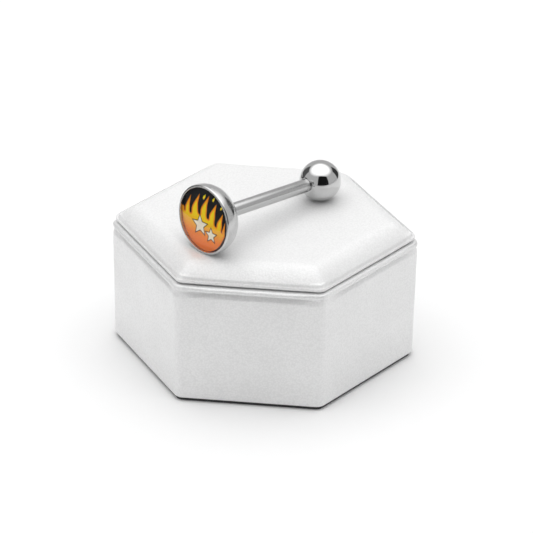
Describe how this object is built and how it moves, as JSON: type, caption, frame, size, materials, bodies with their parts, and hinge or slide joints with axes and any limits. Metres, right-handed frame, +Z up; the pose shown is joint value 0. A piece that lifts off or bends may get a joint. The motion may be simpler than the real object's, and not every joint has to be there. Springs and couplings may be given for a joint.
{
  "type": "tongue barbell on a hexagonal display stand",
  "caption": "Straight barbell with a round picture cup at one end and a ball at the other, lying on a padded hexagonal display block.",
  "frame": {"origin": "centre of the stand's underside, on the surface it stands on", "axes": "+Z up, +X across the two side corners of the hexagonal stand, -Y towards its front face"},
  "size_m": [0.0366, 0.0296, 0.0264],
  "materials": {
    "steel": "mirror polished surgical steel",
    "print": "printed picture, flames on black",
    "epoxy": "clear gloss epoxy",
    "leatherette": "pearly silver-white, fine grained"
  },
  "bodies": {
    "root": {"bar": "steel", "cup": "steel", "picture": "print", "dome": "epoxy", "ball": "steel", "stand_block": "leatherette", "stand_pad": "leatherette"}
  },
  "joints": []
}
